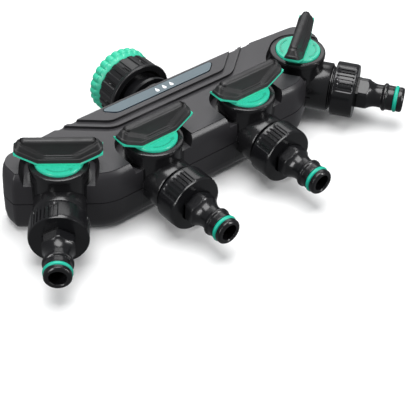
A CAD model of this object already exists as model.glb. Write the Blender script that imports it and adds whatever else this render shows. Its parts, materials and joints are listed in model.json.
import json
import math

import bmesh
import bpy
import numpy as np
from mathutils import Matrix, Vector


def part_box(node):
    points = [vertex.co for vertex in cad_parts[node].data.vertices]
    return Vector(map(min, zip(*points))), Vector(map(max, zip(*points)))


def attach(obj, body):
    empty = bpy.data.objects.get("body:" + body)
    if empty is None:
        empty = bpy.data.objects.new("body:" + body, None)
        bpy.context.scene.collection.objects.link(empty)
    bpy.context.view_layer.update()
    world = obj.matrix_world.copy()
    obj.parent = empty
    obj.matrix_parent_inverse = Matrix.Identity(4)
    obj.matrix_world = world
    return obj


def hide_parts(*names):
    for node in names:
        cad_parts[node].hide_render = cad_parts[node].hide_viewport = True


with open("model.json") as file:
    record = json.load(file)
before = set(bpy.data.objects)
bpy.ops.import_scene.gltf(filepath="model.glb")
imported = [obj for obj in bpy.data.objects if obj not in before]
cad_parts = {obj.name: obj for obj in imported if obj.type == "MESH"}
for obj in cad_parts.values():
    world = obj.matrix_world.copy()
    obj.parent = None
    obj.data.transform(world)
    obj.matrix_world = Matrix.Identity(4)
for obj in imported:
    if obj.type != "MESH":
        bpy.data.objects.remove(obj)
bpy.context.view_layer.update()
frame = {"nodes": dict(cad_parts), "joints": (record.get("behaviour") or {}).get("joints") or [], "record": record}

MM = 0.001
TAU = 2 * math.pi
VALVES = (1, 2, 3, 4)
UP = np.array([0.0, 0.0, 1.0])

record = frame["record"]
joints = {joint["name"]: joint for joint in frame["joints"]}
node_slot = {part["node"]: part["material_slot"] for part in record["subparts"]}


# ---- outlets ----

class Outlet:
    """Axes of one outlet at rest: out along the outlet, side across it, up; and the valve's own axis."""

    def __init__(self, number):
        self.out = np.array(joints[f"connector_{number}_turn"]["axis"], float)
        self.side = np.cross(UP, self.out)
        self.valve = np.array(joints[f"valve_{number}_turn"]["pos_m"], float)
        on_axis = np.array(joints[f"connector_{number}_turn"]["pos_m"], float)
        self.level = on_axis[2]

    def at(self, across, along, height):
        """World points from distances in mm across, along the outlet and above the outlet's axis."""
        base = np.array([self.valve[0], self.valve[1], self.level])
        across, along, height = np.broadcast_arrays(across, along, height)
        local = across[..., None] * self.side + along[..., None] * self.out + height[..., None] * UP
        return base + local * MM


outlets = {number: Outlet(number) for number in VALVES}


# ---- camera and studio ----

VIEW_AZIMUTH = -41.37
VIEW_ELEVATION = 41.62
VIEW_ROLL = 2.81
VIEW_DISTANCE = 0.81785
VIEW_AIM = (0.01757, 0.00355, -0.04466)
LENS = 113.84


def turned_to(back, roll=0.0):
    """Rotation matrix of a camera or light whose +Z points along back, rolled about it by roll degrees."""
    back = Vector(back).normalized()
    right = Vector((0, 0, 1)).cross(back).normalized()
    up = back.cross(right)
    turn = math.radians(roll)
    columns = (
        right * math.cos(turn) + up * math.sin(turn),
        up * math.cos(turn) - right * math.sin(turn),
        back,
    )
    return Matrix(columns).transposed().to_4x4()


def add_camera():
    azimuth, elevation = math.radians(VIEW_AZIMUTH), math.radians(VIEW_ELEVATION)
    back = Vector((
        math.sin(azimuth) * math.cos(elevation),
        -math.cos(azimuth) * math.cos(elevation),
        math.sin(elevation),
    ))
    data = bpy.data.cameras.new("camera")
    data.lens = LENS
    data.clip_start = 0.01
    camera = bpy.data.objects.new("camera", data)
    camera.matrix_world = Matrix.Translation(Vector(VIEW_AIM) + back * VIEW_DISTANCE) @ turned_to(back, VIEW_ROLL)
    bpy.context.collection.objects.link(camera)
    bpy.context.scene.camera = camera


def add_light(name, place, aim, width, depth, power):
    """Rectangular soft light of width by depth metres at place, facing aim."""
    data = bpy.data.lights.new(name, "AREA")
    data.shape = "RECTANGLE"
    data.size = width
    data.size_y = depth
    data.energy = power
    light = bpy.data.objects.new(name, data)
    light.matrix_world = Matrix.Translation(place) @ turned_to(Vector(place) - Vector(aim))
    bpy.context.collection.objects.link(light)


# ---- shader maths ----

class Wire:
    """A shader socket that takes part in arithmetic: each operator adds one Math node."""

    def __init__(self, paint, socket):
        self.paint = paint
        self.socket = socket

    def maths(self, operation, *values):
        return self.paint.node("ShaderNodeMath", {"operation": operation}, dict(enumerate(values)))

    def __add__(self, other):
        return self.maths("ADD", self, other)

    def __radd__(self, other):
        return self.maths("ADD", other, self)

    def __sub__(self, other):
        return self.maths("SUBTRACT", self, other)

    def __rsub__(self, other):
        return self.maths("SUBTRACT", other, self)

    def __mul__(self, other):
        return self.maths("MULTIPLY", self, other)

    def __rmul__(self, other):
        return self.maths("MULTIPLY", other, self)

    def __gt__(self, other):
        return self.maths("GREATER_THAN", self, other)

    def __lt__(self, other):
        return self.maths("LESS_THAN", self, other)

    def to(self, low, high):
        """0 where the value is at low, 1 where it is at high, smooth between."""
        settings = {"interpolation_type": "SMOOTHSTEP"}
        return self.paint.node("ShaderNodeMapRange", settings, {"Value": self, "From Min": low, "From Max": high})


class Paint:
    """One material."""

    def __init__(self, name):
        self.material = bpy.data.materials.new(name)
        self.material.use_nodes = True
        self.tree = self.material.node_tree
        self.shader = self.tree.nodes["Principled BSDF"]
        self.place = self.node("ShaderNodeTexCoord", out="Object")

    def plug(self, socket, value):
        if isinstance(value, Wire):
            self.tree.links.new(value.socket, socket)
        elif isinstance(value, (tuple, list)) and len(value) == 3 and socket.type == "RGBA":
            socket.default_value = (*value, 1.0)
        else:
            socket.default_value = value

    def node(self, kind, settings=None, inputs=None, out=0):
        made = self.tree.nodes.new(kind)
        for key, value in (settings or {}).items():
            setattr(made, key, value)
        for key, value in (inputs or {}).items():
            self.plug(made.inputs[key], value)
        return Wire(self, made.outputs[out])

    def noise(self, size_mm, detail=2.0, roughness=0.5):
        """Grey noise whose blotches are about size_mm across."""
        inputs = {"Vector": self.place, "Scale": 1 / (size_mm * MM), "Detail": detail, "Roughness": roughness}
        return self.node("ShaderNodeTexNoise", inputs=inputs)

    def mix(self, factor, first, second):
        """Colour between first and second."""
        inputs = {"Factor": factor, 6: first, 7: second}
        return self.node("ShaderNodeMix", {"data_type": "RGBA"}, inputs, out=2)

    def bump(self, height, depth_mm):
        inputs = {"Height": height, "Strength": 1.0, "Distance": depth_mm * MM}
        return self.node("ShaderNodeBump", inputs=inputs)

    def coordinate(self, axis):
        return self.node("ShaderNodeSeparateXYZ", inputs={"Vector": self.place}, out=axis)

    def upward(self):
        """How much the surface faces up, from -1 to 1."""
        normal = self.node("ShaderNodeNewGeometry", out="Normal")
        return self.node("ShaderNodeSeparateXYZ", inputs={"Vector": normal}, out="Z")

    def scuffs(self, size_mm, patch_mm, full=0.74):
        """Small dry scuffs about size_mm across, gathered in patches about patch_mm across."""
        return self.noise(size_mm, 4.0, 0.7).to(0.60, full) * self.noise(patch_mm, 2.0).to(0.50, 0.68)

    def finish(self, colour, roughness, normal=None):
        self.plug(self.shader.inputs["Base Color"], colour)
        self.plug(self.shader.inputs["Roughness"], roughness)
        if normal is not None:
            self.plug(self.shader.inputs["Normal"], normal)
        return self.material


def shade(colour, factor):
    return tuple(min(1.0, channel * factor) for channel in colour)


def moulded(name, colour, roughness, grain_mm, grain_depth, mottle=0.10, scuff=0.5):
    """Moulded plastic: a spark-eroded grain, faint flow mottling, and dry scuffs that are paler and rougher."""
    paint = Paint(name)
    grain = paint.noise(grain_mm, 3.0, 0.6)
    flow = paint.noise(28, 3.0)
    specks = paint.scuffs(1.3, 11)
    tone = paint.mix(flow, shade(colour, 1 - mottle), shade(colour, 1 + mottle))
    tone = paint.mix(specks * (0.16 * scuff), tone, shade(colour, 2.2))
    rough = roughness + (flow - 0.5) * 0.10 + specks * (0.12 * scuff) + (grain - 0.5) * 0.08
    return paint.finish(tone, rough, paint.bump(grain + specks * 0.35, grain_depth))


DROP_RISE = 0.2
DISC_RISE = 1.2
WORN_BAND = 3.0
BADGE_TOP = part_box("badge_plate")[1][2] - DROP_RISE * MM
DISC_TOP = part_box("upper_shell")[1][2] + DISC_RISE * MM
GRIP_WORN_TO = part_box("knob_grip_2")[1][2]
GRIP_WORN_FROM = GRIP_WORN_TO - WORN_BAND * MM

TOWER_REACH = 17.4
COLLAR_REACH = 15.1
COLLAR_FROM = 10.3


def on_towers(paint):
    """1 on the towers, their rims and the outlet collars, 0 on the rest of the body.

    A tower is all that lies within TOWER_REACH of a valve's axis. A collar lies in front of COLLAR_FROM,
    measured along the outlet, and within COLLAR_REACH across it."""
    x, y = paint.coordinate("X"), paint.coordinate("Y")
    found = None
    for outlet in outlets.values():
        east, north = x - float(outlet.valve[0]), y - float(outlet.valve[1])
        along = east * float(outlet.out[0]) + north * float(outlet.out[1])
        across = east * float(outlet.side[0]) + north * float(outlet.side[1])
        tower = (east * east + north * north) < (TOWER_REACH * MM) ** 2
        collar = ((across * across) < (COLLAR_REACH * MM) ** 2) * (along > COLLAR_FROM * MM)
        here = tower.maths("MAXIMUM", tower, collar)
        found = here if found is None else found.maths("MAXIMUM", found, here)
    return found


def shell_plastic():
    """Satin charcoal body with a little pale dust on the faces that look up; gloss black towers and collars."""
    paint = Paint("shell_plastic")
    colour = (0.026, 0.0248, 0.0275)
    gloss = on_towers(paint)
    grain = paint.noise(0.34, 3.0, 0.62)
    flow = paint.noise(36, 3.0)
    specks = paint.scuffs(1.6, 14, 0.76)
    dust = paint.upward().to(0.55, 1.0) * (0.35 + 0.65 * flow) * (1 - 0.85 * gloss)
    tone = paint.mix(flow, shade(colour, 0.92), shade(colour, 1.08))
    tone = paint.mix(dust * 0.30 + specks * 0.10, tone, (0.070, 0.067, 0.073))
    tone = paint.mix(gloss, tone, (0.0085, 0.0083, 0.0092))
    rough = 0.34 + (flow - 0.5) * 0.08 + dust * 0.06 + specks * 0.08 + (grain - 0.5) * 0.08 - gloss * 0.12
    return paint.finish(tone, rough, paint.bump((grain + specks * 0.3) * (1 - 0.6 * gloss), 0.016))


def grip_rubber():
    """Soft black grip: fine grain, rubbed smoother and paler along the crest where fingers press."""
    paint = Paint("grip_rubber")
    grain = paint.noise(0.28, 2.0, 0.6)
    blotch = paint.noise(7, 3.0)
    crest = paint.coordinate("Z").to(GRIP_WORN_FROM, GRIP_WORN_TO) * blotch.to(0.35, 0.65)
    tone = paint.mix(blotch, (0.0135, 0.0132, 0.0138), (0.0175, 0.017, 0.018))
    tone = paint.mix(crest * 0.25, tone, (0.030, 0.029, 0.031))
    rough = 0.50 + (blotch - 0.5) * 0.10 - crest * 0.10 + (grain - 0.5) * 0.10
    return paint.finish(tone, rough, paint.bump(grain, 0.02))


def knob_green():
    """Glossy green plastic: its thin edges glow paler, and the raised arrows are a shade deeper than the disc."""
    paint = Paint("green_plastic")
    flow = paint.noise(28, 3.0)
    grain = paint.noise(0.5, 3.0, 0.6)
    specks = paint.scuffs(1.3, 11)
    height, upward = paint.coordinate("Z"), paint.upward()
    mark = (height > DISC_TOP + 0.08 * MM) * (height < DISC_TOP + 0.5 * MM) * (upward > 0.9)
    tone = paint.mix(flow, (0.020, 0.42, 0.275), (0.024, 0.46, 0.305))
    tone = paint.mix((1 - upward).to(0.4, 0.9), tone, (0.055, 0.72, 0.48))
    tone = paint.mix(mark * 0.8, tone, (0.012, 0.27, 0.175))
    tone = paint.mix(specks * 0.05, tone, (0.4, 0.7, 0.6))
    rough = 0.28 + (flow - 0.5) * 0.08 + specks * 0.08 + (grain - 0.5) * 0.06
    return paint.finish(tone, rough, paint.bump(grain, 0.006))


def badge_paint():
    """Blue-grey badge with darker sides, and the raised drops in white."""
    paint = Paint("badge_paint")
    height = paint.coordinate("Z")
    flow = paint.noise(9, 3.0)
    fine = paint.noise(0.5, 2.0)
    face = paint.mix(flow, (0.085, 0.118, 0.137), (0.105, 0.145, 0.168))
    tone = paint.mix(paint.upward().to(0.3, 0.8), (0.022, 0.045, 0.075), face)
    tone = paint.mix(height.to(BADGE_TOP + 0.05 * MM, BADGE_TOP + 0.12 * MM), tone, (0.86, 0.88, 0.9))
    return paint.finish(tone, 0.30 + flow * 0.10 + fine * 0.05, paint.bump(fine, 0.006))


def metal(name, colour, roughness, size_mm):
    """Turned or plated metal: a fine grain and slight tarnish."""
    paint = Paint(name)
    tarnish = paint.noise(4, 3.0)
    lines = paint.noise(size_mm, 2.0)
    tone = paint.mix(tarnish, shade(colour, 0.86), colour)
    paint.shader.inputs["Metallic"].default_value = 1.0
    return paint.finish(tone, roughness + tarnish * 0.12 + lines * 0.06, paint.bump(lines, 0.004))


materials = {
    "shell": shell_plastic(),
    "badge": badge_paint(),
    "black_plastic": moulded("black_gloss_plastic", (0.0065, 0.0065, 0.0075), 0.22, 0.4, 0.008),
    "nut_plastic": moulded("nut_satin_plastic", (0.010, 0.010, 0.011), 0.28, 0.36, 0.010),
    "green_plastic": knob_green(),
    "adapter_green": moulded("adapter_green_plastic", (0.045, 0.52, 0.33), 0.32, 0.5, 0.006, 0.05, 0.25),
    "green_rubber": moulded("green_ring_rubber", (0.002, 0.42, 0.29), 0.38, 0.3, 0.01, 0.06, 0.3),
    "soft_grip": grip_rubber(),
    "black_rubber": moulded("black_washer_rubber", (0.012, 0.012, 0.013), 0.6, 0.3, 0.02),
    "seat_plastic": moulded("white_seat_plastic", (0.78, 0.78, 0.76), 0.35, 0.6, 0.004, 0.03, 0.2),
    "ball_metal": metal("polished_ball", (0.72, 0.72, 0.74), 0.10, 0.8),
    "brass": metal("turned_brass", (0.66, 0.48, 0.20), 0.24, 0.5),
    "screw_steel": metal("plated_steel", (0.58, 0.59, 0.61), 0.30, 0.4),
}
for name, node in frame["nodes"].items():
    node.data.materials.clear()
    node.data.materials.append(materials[node_slot[name]])


# ---- mesh helpers ----

MERGE_DISTANCE = 0.002
EDGE_CREASE = 35
EDGE_SEGMENTS = 2
GRIP_CREASE = 38
TURNED_CREASE = 30


def grid_faces(rows, columns, close_rows=False):
    """Quads of points numbered row by row. Each row closes on itself; close_rows joins the last row to the first."""
    row = np.arange(rows if close_rows else rows - 1)[:, None]
    column = np.arange(columns)[None, :]
    after_row, after_column = (row + 1) % rows, (column + 1) % columns
    corners = (row * columns + column, row * columns + after_column,
               after_row * columns + after_column, after_row * columns + column)
    return np.stack([np.broadcast_to(c, (row.size, column.size)) for c in corners], -1).reshape(-1, 4)


def as_piece(name, points, faces, body, slot, stands_for, sharp_degrees):
    """Mesh from points and quads, merged where rows meet, turned outwards and shaded smooth up to an angle."""
    mesh = bpy.data.meshes.new(name)
    mesh.from_pydata(points.reshape(-1, 3).tolist(), [], faces.tolist())
    work = bmesh.new()
    work.from_mesh(mesh)
    bmesh.ops.remove_doubles(work, verts=work.verts, dist=MERGE_DISTANCE * MM)
    bmesh.ops.recalc_face_normals(work, faces=work.faces)
    if work.calc_volume(signed=True) < 0:
        bmesh.ops.reverse_faces(work, faces=work.faces)
    work.to_mesh(mesh)
    work.free()
    return placed(name, mesh, body, slot, stands_for, sharp_degrees)


def placed(name, mesh, body, slot, stands_for, sharp_degrees):
    """Object from a mesh, with its material, riding on a body in place of the CAD nodes it stands for."""
    mesh.shade_smooth()
    mesh.set_sharp_from_angle(angle=math.radians(sharp_degrees))
    mesh.materials.clear()
    mesh.materials.append(materials[slot])
    piece = bpy.data.objects.new(name, mesh)
    bpy.context.collection.objects.link(piece)
    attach(piece, body)
    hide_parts(*stands_for)
    return piece


def softened(node, name, body, width_mm):
    """Copy of a CAD node, merged, with every sharp edge rounded by width_mm."""
    mesh = frame["nodes"][node].data.copy()
    mesh.name = name
    work = bmesh.new()
    work.from_mesh(mesh)
    bmesh.ops.remove_doubles(work, verts=work.verts, dist=MERGE_DISTANCE * MM)
    bmesh.ops.recalc_face_normals(work, faces=work.faces)
    work.to_mesh(mesh)
    work.free()
    if "custom_normal" in mesh.attributes:
        mesh.attributes.remove(mesh.attributes["custom_normal"])
    piece = placed(name, mesh, body, node_slot[node], [node], EDGE_CREASE)
    bevel = piece.modifiers.new("soft_edges", "BEVEL")
    bevel.width = width_mm * MM
    bevel.segments = EDGE_SEGMENTS
    bevel.limit_method = "ANGLE"
    bevel.angle_limit = math.radians(EDGE_CREASE)
    bevel.use_clamp_overlap = True
    bevel.harden_normals = True


def smooth_step(low, high, value):
    t = np.clip((value - low) / (high - low), 0, 1)
    return t * t * (3 - 2 * t)


# ---- knob grips ----

DISC_HEIGHT = 24.1
GRIP_HALF = 23.9
GRIP_MIDDLE = 11.4
GRIP_HALF_WIDTH = 5.3
GRIP_TIP_WIDTH = 4.75
GRIP_CREST_WIDTH = 2.5
GRIP_BASE = 1.3
GRIP_TIP_LIFT = 6.6
GRIP_HEIGHT = 14.2
GRIP_EDGE = 1.9
GRIP_CORNER = 3.0
GRIP_COLUMNS = 384
GRIP_SHARES = (0, 0.25, 0.8, 1)
GRIP_HALF_LENGTHS = (GRIP_HALF, 23.8, 22.2, 19.9)
PANEL_BOTTOM = 5.4
PANEL_TOP = 12.9
PANEL_END = 8.2
PANEL_END_HEIGHT = 5.6
PANEL_SLOPE = math.atan2(6.4, 10.6)
PANEL_EDGE = (0.15, -0.15)
PANEL_DEPTH = 0.50
STEP_EDGE = (1.25, 0.95)
STEP_DEPTH = 0.42
LIP_HEIGHT = 2.2
LIP_DEPTH = 0.34


def rounded_loop(half_length, half_width, radius, count):
    """Points and outward directions round rectangles with round corners, one rectangle per row.

    Each quarter has the corner's arc between two straight runs, and columns keep their share of each."""
    quarter = count // 4
    run = quarter // 3
    along = np.linspace(0, 1, run, endpoint=False)
    turn = np.linspace(0, math.pi / 2, quarter - run, endpoint=False)
    half_length, half_width = half_length[:, None], half_width[:, None]
    radius = np.minimum(radius, np.minimum(half_length, half_width) * 0.999)
    points, normals = [], []
    corners = [(1, 1), (-1, 1), (-1, -1), (1, -1)]
    for index, (sx, sy) in enumerate(corners):
        centre = np.stack([sx * (half_length - radius), sy * (half_width - radius)], -1)
        start = index * math.pi / 2
        arc = np.stack([np.cos(start + turn), np.sin(start + turn)], -1)
        arc_points = centre + radius[..., None] * arc
        end = np.array([math.cos(start + math.pi / 2), math.sin(start + math.pi / 2)])
        nx, ny = corners[(index + 1) % 4]
        following = np.stack([nx * (half_length - radius), ny * (half_width - radius)], -1)
        straight = centre + (following - centre) * along[None, :, None] + radius[..., None] * end
        points += [arc_points, straight]
        normals += [np.broadcast_to(arc, arc_points.shape), np.broadcast_to(end, straight.shape)]
    return np.concatenate(points, 1), np.concatenate(normals, 1)


def grip_rows():
    """Rows of the grip from the middle of its underside to the middle of its crest.

    Each row has its share of the side's height, an inset from the side in mm and a lift in mm."""
    edge = np.linspace(0, math.pi / 2, 6)
    rows = [(0, inset, 0) for inset in (9, 3, 1.2, 0.5)]
    rows += [(0, 0.3 * (1 - math.sin(a)), 0.3 * (1 - math.cos(a))) for a in edge]
    rows += [(t, 0, 0) for t in np.linspace(0.03, 0.93, 76)]
    rows += [(1, GRIP_EDGE * (1 - math.cos(a)), GRIP_EDGE * (math.sin(a) - 1)) for a in edge]
    rows += [(1, inset, 0) for inset in (2.1, 2.3, 9)]
    return np.array(rows, float).T


def grip_steps(along, height, underside, facing):
    """How far the side is sunk, in mm: a flat panel inside two nested contour steps.

    The panel is a trapezoid, narrow at the bottom, and each step follows it at an even distance."""
    inwards = (np.abs(along) - PANEL_END) * math.sin(PANEL_SLOPE)
    ends = inwards - (height - PANEL_END_HEIGHT) * math.cos(PANEL_SLOPE)
    outside = np.maximum(np.maximum(PANEL_BOTTOM - height, ends), height - PANEL_TOP)
    panel = smooth_step(*PANEL_EDGE, outside) * PANEL_DEPTH
    step = smooth_step(*STEP_EDGE, outside) * STEP_DEPTH
    lip = smooth_step(-0.15, 0.15, height - underside - LIP_HEIGHT) * LIP_DEPTH
    return (panel + step) * smooth_step(0.55, 0.9, facing) + lip


def grip_points(outlet):
    """World points of the grip: rounded rectangles from a boat-shaped underside to a narrow level crest."""
    share, inset, lift = grip_rows()
    half_length = np.interp(share, GRIP_SHARES, GRIP_HALF_LENGTHS) - inset
    half_width = GRIP_HALF_WIDTH + (GRIP_CREST_WIDTH - GRIP_HALF_WIDTH) * share - inset
    half_width = np.maximum(half_width, 0.0005)
    flat, normal = rounded_loop(half_length, half_width, GRIP_CORNER, GRIP_COLUMNS)
    along, across = flat[..., 0], flat[..., 1]
    ends = np.clip((np.abs(along) - GRIP_MIDDLE) / (GRIP_HALF - GRIP_MIDDLE), 0, 1)
    across = across * (1 - (1 - GRIP_TIP_WIDTH / GRIP_HALF_WIDTH) * ends)
    underside = GRIP_BASE + GRIP_TIP_LIFT * ends
    height = underside + (GRIP_HEIGHT - underside) * share[:, None] + lift[:, None]
    sunk = grip_steps(along, height, underside, np.abs(normal[..., 1]))
    sunk = sunk * ((share > 0) & (share < 1))[:, None]
    sunk = sunk * smooth_step(0.96, 0.90, share)[:, None]
    along = along - sunk * normal[..., 0]
    across = across - sunk * normal[..., 1]
    return outlet.at(along, -across, height + DISC_HEIGHT)


def add_grips():
    for number in VALVES:
        points = grip_points(outlets[number])
        faces = grid_faces(points.shape[0], points.shape[1])
        as_piece(f"grip_{number}", points, faces, f"valve_{number}", "soft_grip",
                 [f"knob_grip_{number}"], GRIP_CREASE)


# ---- turned pieces ----

CORNER_STEPS = 4


def rounded_profile(points):
    """Closed outline from (along, radius, corner) points, each rounded from corner mm before it to as far after."""
    points = np.array(points, float)
    places, corners = points[:, :2], points[:, 2]
    before, after = np.roll(places, 1, 0) - places, np.roll(places, -1, 0) - places
    before_length = np.linalg.norm(before, axis=1)
    after_length = np.linalg.norm(after, axis=1)
    reach = np.minimum(corners, 0.45 * np.minimum(before_length, after_length))[:, None]
    start = places + before / before_length[:, None] * reach
    end = places + after / after_length[:, None] * reach
    t = np.linspace(0, 1, CORNER_STEPS + 1)[None, :, None]
    curve = (1 - t) ** 2 * start[:, None] + 2 * t * (1 - t) * places[:, None] + t * t * end[:, None]
    return curve.reshape(-1, 2)


def divided(profile, longest):
    """The closed profile with long runs divided into steps no longer than longest."""
    after = np.roll(profile, -1, 0)
    lengths = np.linalg.norm(after - profile, axis=1)
    keep = lengths > 1e-5
    parts = [
        start + (end - start) * np.linspace(0, 1, max(1, math.ceil(length / longest)), endpoint=False)[:, None]
        for start, end, length in zip(profile[keep], after[keep], lengths[keep])
    ]
    return np.concatenate(parts)


NUT_REAR = 24.6
NUT_FRONT = 40.0
NUT_RADIUS = 16.7
TIP = 67.4
HEX_RADIUS = 8.8
NIPPLE_RADIUS = 7.6
NECK_RADIUS = 7.0
RIM_AT = NUT_FRONT + 15.2
RIM_RADIUS = 8.5
SEAL_AT = TIP - 4.6
SEAL_SECTION = 1.3
BORE_RADIUS = 4.75
THREAD_BORE = 13.28
SEAT_AT = 36.6
GROOVES = 6
GROOVE_STEP = 9.0
GROOVE_DEPTH = 0.75
PAD_RISE = 0.45
CONNECTOR_COLUMNS = 480
CONNECTOR_STEP = 1.2


def connector_profile():
    """Closed outline (along, radius, corner radius) of nut and nipple, from the nut's rear edge round."""
    groove_floor = NIPPLE_RADIUS + 0.55 - 2 * SEAL_SECTION
    half = SEAL_SECTION + 0.1
    return rounded_profile([
        (NUT_REAR, THREAD_BORE, 0.1), (NUT_REAR, NUT_RADIUS - 0.5, 0.3), (NUT_REAR + 0.5, NUT_RADIUS, 0.3),
        (NUT_FRONT - 2.9, NUT_RADIUS, 1.2), (NUT_FRONT - 0.3, NUT_RADIUS - 1.5, 1.0),
        (NUT_FRONT, NUT_RADIUS - 2.8, 0.8), (NUT_FRONT - 0.3, NUT_RADIUS - 3.7, 0.4),
        (NUT_FRONT - 1.9, NUT_RADIUS - 4.4, 0.6), (NUT_FRONT - 1.9, HEX_RADIUS + 1.4, 0.5),
        (NUT_FRONT - 1.0, HEX_RADIUS + 0.9, 0.3),
        (NUT_FRONT + 5.2, HEX_RADIUS + 0.9, 0.5), (NUT_FRONT + 6.2, HEX_RADIUS - 0.1, 0.5),
        (NUT_FRONT + 7.6, HEX_RADIUS - 0.9, 0.8), (NUT_FRONT + 10.2, NECK_RADIUS, 1.2),
        (RIM_AT - 0.9, NECK_RADIUS, 0.3), (RIM_AT - 0.2, RIM_RADIUS - 0.5, 0.2), (RIM_AT + 0.4, RIM_RADIUS, 0.3),
        (RIM_AT + 1.6, RIM_RADIUS, 0.3), (RIM_AT + 2.1, RIM_RADIUS - 0.5, 0.2), (RIM_AT + 2.4, NIPPLE_RADIUS, 0.2),
        (SEAL_AT - half, NIPPLE_RADIUS, 0.15), (SEAL_AT - half, groove_floor, 0.1),
        (SEAL_AT + half, groove_floor, 0.1), (SEAL_AT + half, NIPPLE_RADIUS, 0.15),
        (TIP - 1.0, NIPPLE_RADIUS, 0.4), (TIP, NIPPLE_RADIUS - 0.9, 0.3), (TIP, BORE_RADIUS + 0.5, 0.2),
        (TIP - 0.5, BORE_RADIUS, 0.2), (SEAT_AT, BORE_RADIUS, 0.1), (SEAT_AT, THREAD_BORE, 0.1),
    ])


def connector_radius(along, radius, angle):
    """Radius of the connector where the plain profile has radius: grooves, pads and the six-sided base.

    Three groups of grooves are cut between three plain pads, which stand proud and have bevelled ends.
    The base is a hexagon cut down to a circle at its corners."""
    outside = radius > NUT_RADIUS - 2.0
    third = np.abs((angle * 3 / TAU + 0.5) % 1 - 0.5) * 120
    group = GROOVES * GROOVE_STEP / 2 + 1.5
    pad = smooth_step(group, group + 2.2, third)
    lengthways = smooth_step(NUT_REAR + 1.6, NUT_REAR + 2.3, along) * smooth_step(
        NUT_FRONT - 2.6, NUT_FRONT - 3.5, along)
    comb = np.abs((third / GROOVE_STEP) % 1 - 0.5) * 2
    groove = smooth_step(0.50, 0.66, 1 - comb) * (third < GROOVES * GROOVE_STEP / 2)
    groove_run = smooth_step(NUT_REAR + 2.6, NUT_REAR + 3.2, along) * smooth_step(
        NUT_FRONT - 3.4, NUT_FRONT - 4.2, along)
    cut = (PAD_RISE * (1 - pad) * lengthways + GROOVE_DEPTH * groove * groove_run) * outside
    base = (along > NUT_FRONT - 1.5) & (along < NUT_FRONT + 6.4) & (radius > NECK_RADIUS)
    sixth = (angle / TAU * 6 + 0.5) % 1 - 0.5
    flat = HEX_RADIUS / np.cos(sixth * TAU / 6)
    return np.where(base, np.minimum(radius, flat), radius - cut)


def revolved(profile, radius_rule, columns):
    """Along, across and height of a profile turned about its axis, its radius changed by a rule."""
    angle = np.linspace(0, TAU, columns, endpoint=False)[None, :]
    along, radius = profile[:, :1] + 0 * angle, profile[:, 1:] + 0 * angle
    radius = radius_rule(along, radius, angle)
    return along, radius * np.cos(angle), radius * np.sin(angle)


def add_connectors():
    profile = divided(connector_profile(), CONNECTOR_STEP)
    along, across, height = revolved(profile, connector_radius, CONNECTOR_COLUMNS)
    faces = grid_faces(*along.shape, close_rows=True)
    for number in VALVES:
        points = outlets[number].at(across, along, height)
        as_piece(f"hose_connector_{number}", points, faces, f"connector_{number}", "black_plastic",
                 [f"connector_{number}"], TURNED_CREASE)


# ---- inlet ----

swivel_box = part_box("swivel_nut")
adapter_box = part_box("adapter_ring")
INLET_HEIGHT = joints["swivel_turn"]["pos_m"][2]
SWIVEL_FACE = swivel_box[0][1] / MM
RING_END = adapter_box[1][1] / MM
RING_LENGTH = 8.1
RING_FACE = RING_END - RING_LENGTH
SWIVEL_RIM = 21.0
SWIVEL_RADIUS = 20.5
SWIVEL_THREAD = 16.62
SWIVEL_BORE = 13.26
SWIVEL_WEB = SWIVEL_FACE + 4.0
SWIVEL_WEB_END = SWIVEL_WEB + 2.4
SWIVEL_RIBS = 20
RING_RADIUS = 20.9
RING_TAIL_RADIUS = 16.56
RING_TAIL = SWIVEL_FACE + 10.5
TAP_RADIUS = 13.3
TAP_FLOOR = RING_TAIL + 4.6
TAP_SEAT = RING_TAIL + 2.6
RING_BORE = 9.5
SCALLOPS = 26
SCALLOP_DEPTH = 1.3
RIB_RISE = 0.75
SLOT_DEPTH = 0.9
INLET_STEP = 1.0


def inlet_at(across, along, height):
    """World points from mm across, absolute mm along Y, and mm above the inlet's axis."""
    across, along, height = np.broadcast_arrays(across, along, height)
    return np.stack([across * MM, along * MM, height * MM + INLET_HEIGHT], -1)


def swivel_profile():
    return rounded_profile([
        (SWIVEL_FACE, SWIVEL_THREAD + 0.6, 0.2), (SWIVEL_FACE, SWIVEL_RIM - 0.5, 0.35),
        (SWIVEL_FACE + 0.5, SWIVEL_RIM, 0.3), (SWIVEL_FACE + 1.6, SWIVEL_RIM, 0.4),
        (SWIVEL_FACE + 2.5, SWIVEL_RADIUS, 0.5), (RING_FACE - 1.1, SWIVEL_RADIUS - 0.5, 0.5),
        (RING_FACE - 0.1, SWIVEL_RADIUS - 1.4, 0.3), (RING_FACE - 0.1, SWIVEL_THREAD, 0.2),
        (SWIVEL_WEB_END, SWIVEL_THREAD, 0.1), (SWIVEL_WEB_END, SWIVEL_BORE, 0.1),
        (SWIVEL_WEB, SWIVEL_BORE, 0.1), (SWIVEL_WEB, SWIVEL_THREAD + 0.6, 0.2),
    ])


def swivel_radius(along, radius, angle):
    """Raised ribs run from the rim to the green ring, with a short deep slot near the rim between every two."""
    outside = radius > SWIVEL_THREAD + 2
    rib = np.abs((angle / TAU * SWIVEL_RIBS) % 1 - 0.5) * 2
    hollow = smooth_step(0.42, 0.56, rib)
    run = smooth_step(SWIVEL_FACE + 2.8, SWIVEL_FACE + 3.8, along)
    pair = np.abs((angle / TAU * SWIVEL_RIBS / 2) % 1 - 0.5) * 2
    slot = smooth_step(0.90, 0.93, pair) * smooth_step(SWIVEL_FACE + 3.2, SWIVEL_FACE + 3.6, along)
    slot = slot * smooth_step(SWIVEL_FACE + 9.4, SWIVEL_FACE + 9.0, along)
    return radius - outside * (RIB_RISE * hollow * run + SLOT_DEPTH * slot)


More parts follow.
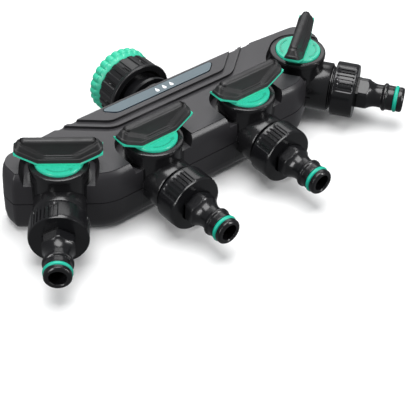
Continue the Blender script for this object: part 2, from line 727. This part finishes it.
def ring_profile():
    return rounded_profile([
        (RING_TAIL, RING_BORE, 0.1), (RING_TAIL, RING_TAIL_RADIUS, 0.3),
        (RING_FACE, RING_TAIL_RADIUS, 0.05), (RING_FACE, RING_RADIUS - 2.4, 0.3),
        (RING_FACE + 2.6, RING_RADIUS - 0.7, 0.5), (RING_FACE + 3.2, RING_RADIUS, 0.4),
        (RING_END - 1.0, RING_RADIUS, 0.6),
        (RING_END, RING_RADIUS - 1.0, 0.5), (RING_END, TAP_RADIUS + 0.8, 0.2),
        (RING_END - 0.8, TAP_RADIUS, 0.2), (TAP_FLOOR, TAP_RADIUS, 0.1),
        (TAP_FLOOR, TAP_RADIUS - 0.3, 0.05), (TAP_SEAT, TAP_RADIUS - 0.3, 0.05), (TAP_SEAT, RING_BORE, 0.1),
    ])


def ring_radius(along, radius, angle):
    """Scallops: round ridges with narrow valleys between them, which fade out towards the nut."""
    outside = radius > RING_TAIL_RADIUS + 1.5
    wave = np.abs(np.cos(angle * SCALLOPS / 2))
    depth = SCALLOP_DEPTH * (1 - wave ** 0.7) * smooth_step(RING_FACE + 1.2, RING_FACE + 3.4, along)
    return radius - outside * depth


def add_inlet():
    pieces = (
        ("inlet_nut", swivel_profile, swivel_radius, 480, "swivel", "nut_plastic", "swivel_nut"),
        ("green_inlet_ring", ring_profile, ring_radius, 520, "adapter", "adapter_green", "adapter_ring"),
    )
    for name, outline, rule, columns, body, slot, node in pieces:
        along, across, height = revolved(divided(outline(), INLET_STEP), rule, columns)
        points = inlet_at(across, along, height)
        as_piece(name, points, grid_faces(*along.shape, close_rows=True), body, slot, [node], TURNED_CREASE)


def add_soft_edged():
    softened("upper_shell", "top_shell", "root", 0.22)
    softened("lower_shell", "base_shell", "root", 0.3)
    softened("badge_plate", "badge", "root", 0.15)
    for number in VALVES:
        softened(f"knob_plate_{number}", f"green_knob_{number}", f"valve_{number}", 0.15)


FLOOR_REACH = 4.0
LIT_POINT = (0, 0, 0.02)
LIGHTS = (
    ("top_softbox", (0.0, 0.1, 1.1), 0.9, 0.7, 13),
    ("back_softbox", (0.55, 0.75, 0.75), 1.0, 0.5, 3),
    ("left_strip", (-0.95, -0.15, 0.5), 0.14, 0.8, 5),
    ("right_strip", (0.55, -0.8, 0.45), 0.14, 0.8, 6),
)
SKY_COLOUR = (0.95, 0.97, 1.0)
SKY_STRENGTH = 0.22


def add_studio():
    """A white floor that only catches shadow, four soft lights and a faint even sky."""
    corners = [(x * FLOOR_REACH, y * FLOOR_REACH, 0) for x, y in ((-1, -1), (1, -1), (1, 1), (-1, 1))]
    floor_mesh = bpy.data.meshes.new("floor")
    floor_mesh.from_pydata(corners, [], [(0, 1, 2, 3)])
    paint = Paint("floor_paint")
    floor_mesh.materials.append(paint.finish((0.90, 0.90, 0.90), 0.9 + paint.noise(3, 2.0) * 0.05))
    floor = bpy.data.objects.new("floor", floor_mesh)
    bpy.context.collection.objects.link(floor)
    floor.visible_glossy = False
    floor.visible_diffuse = False
    for name, place, width, depth, power in LIGHTS:
        add_light(name, place, LIT_POINT, width, depth, power)
    world = bpy.data.worlds.new("studio")
    world.use_nodes = True
    sky = world.node_tree.nodes["Background"]
    sky.inputs["Color"].default_value = (*SKY_COLOUR, 1)
    sky.inputs["Strength"].default_value = SKY_STRENGTH
    bpy.context.scene.world = world
    bpy.context.scene.view_settings.view_transform = "Standard"


add_camera()
add_studio()
add_soft_edged()
add_grips()
add_connectors()
add_inlet()
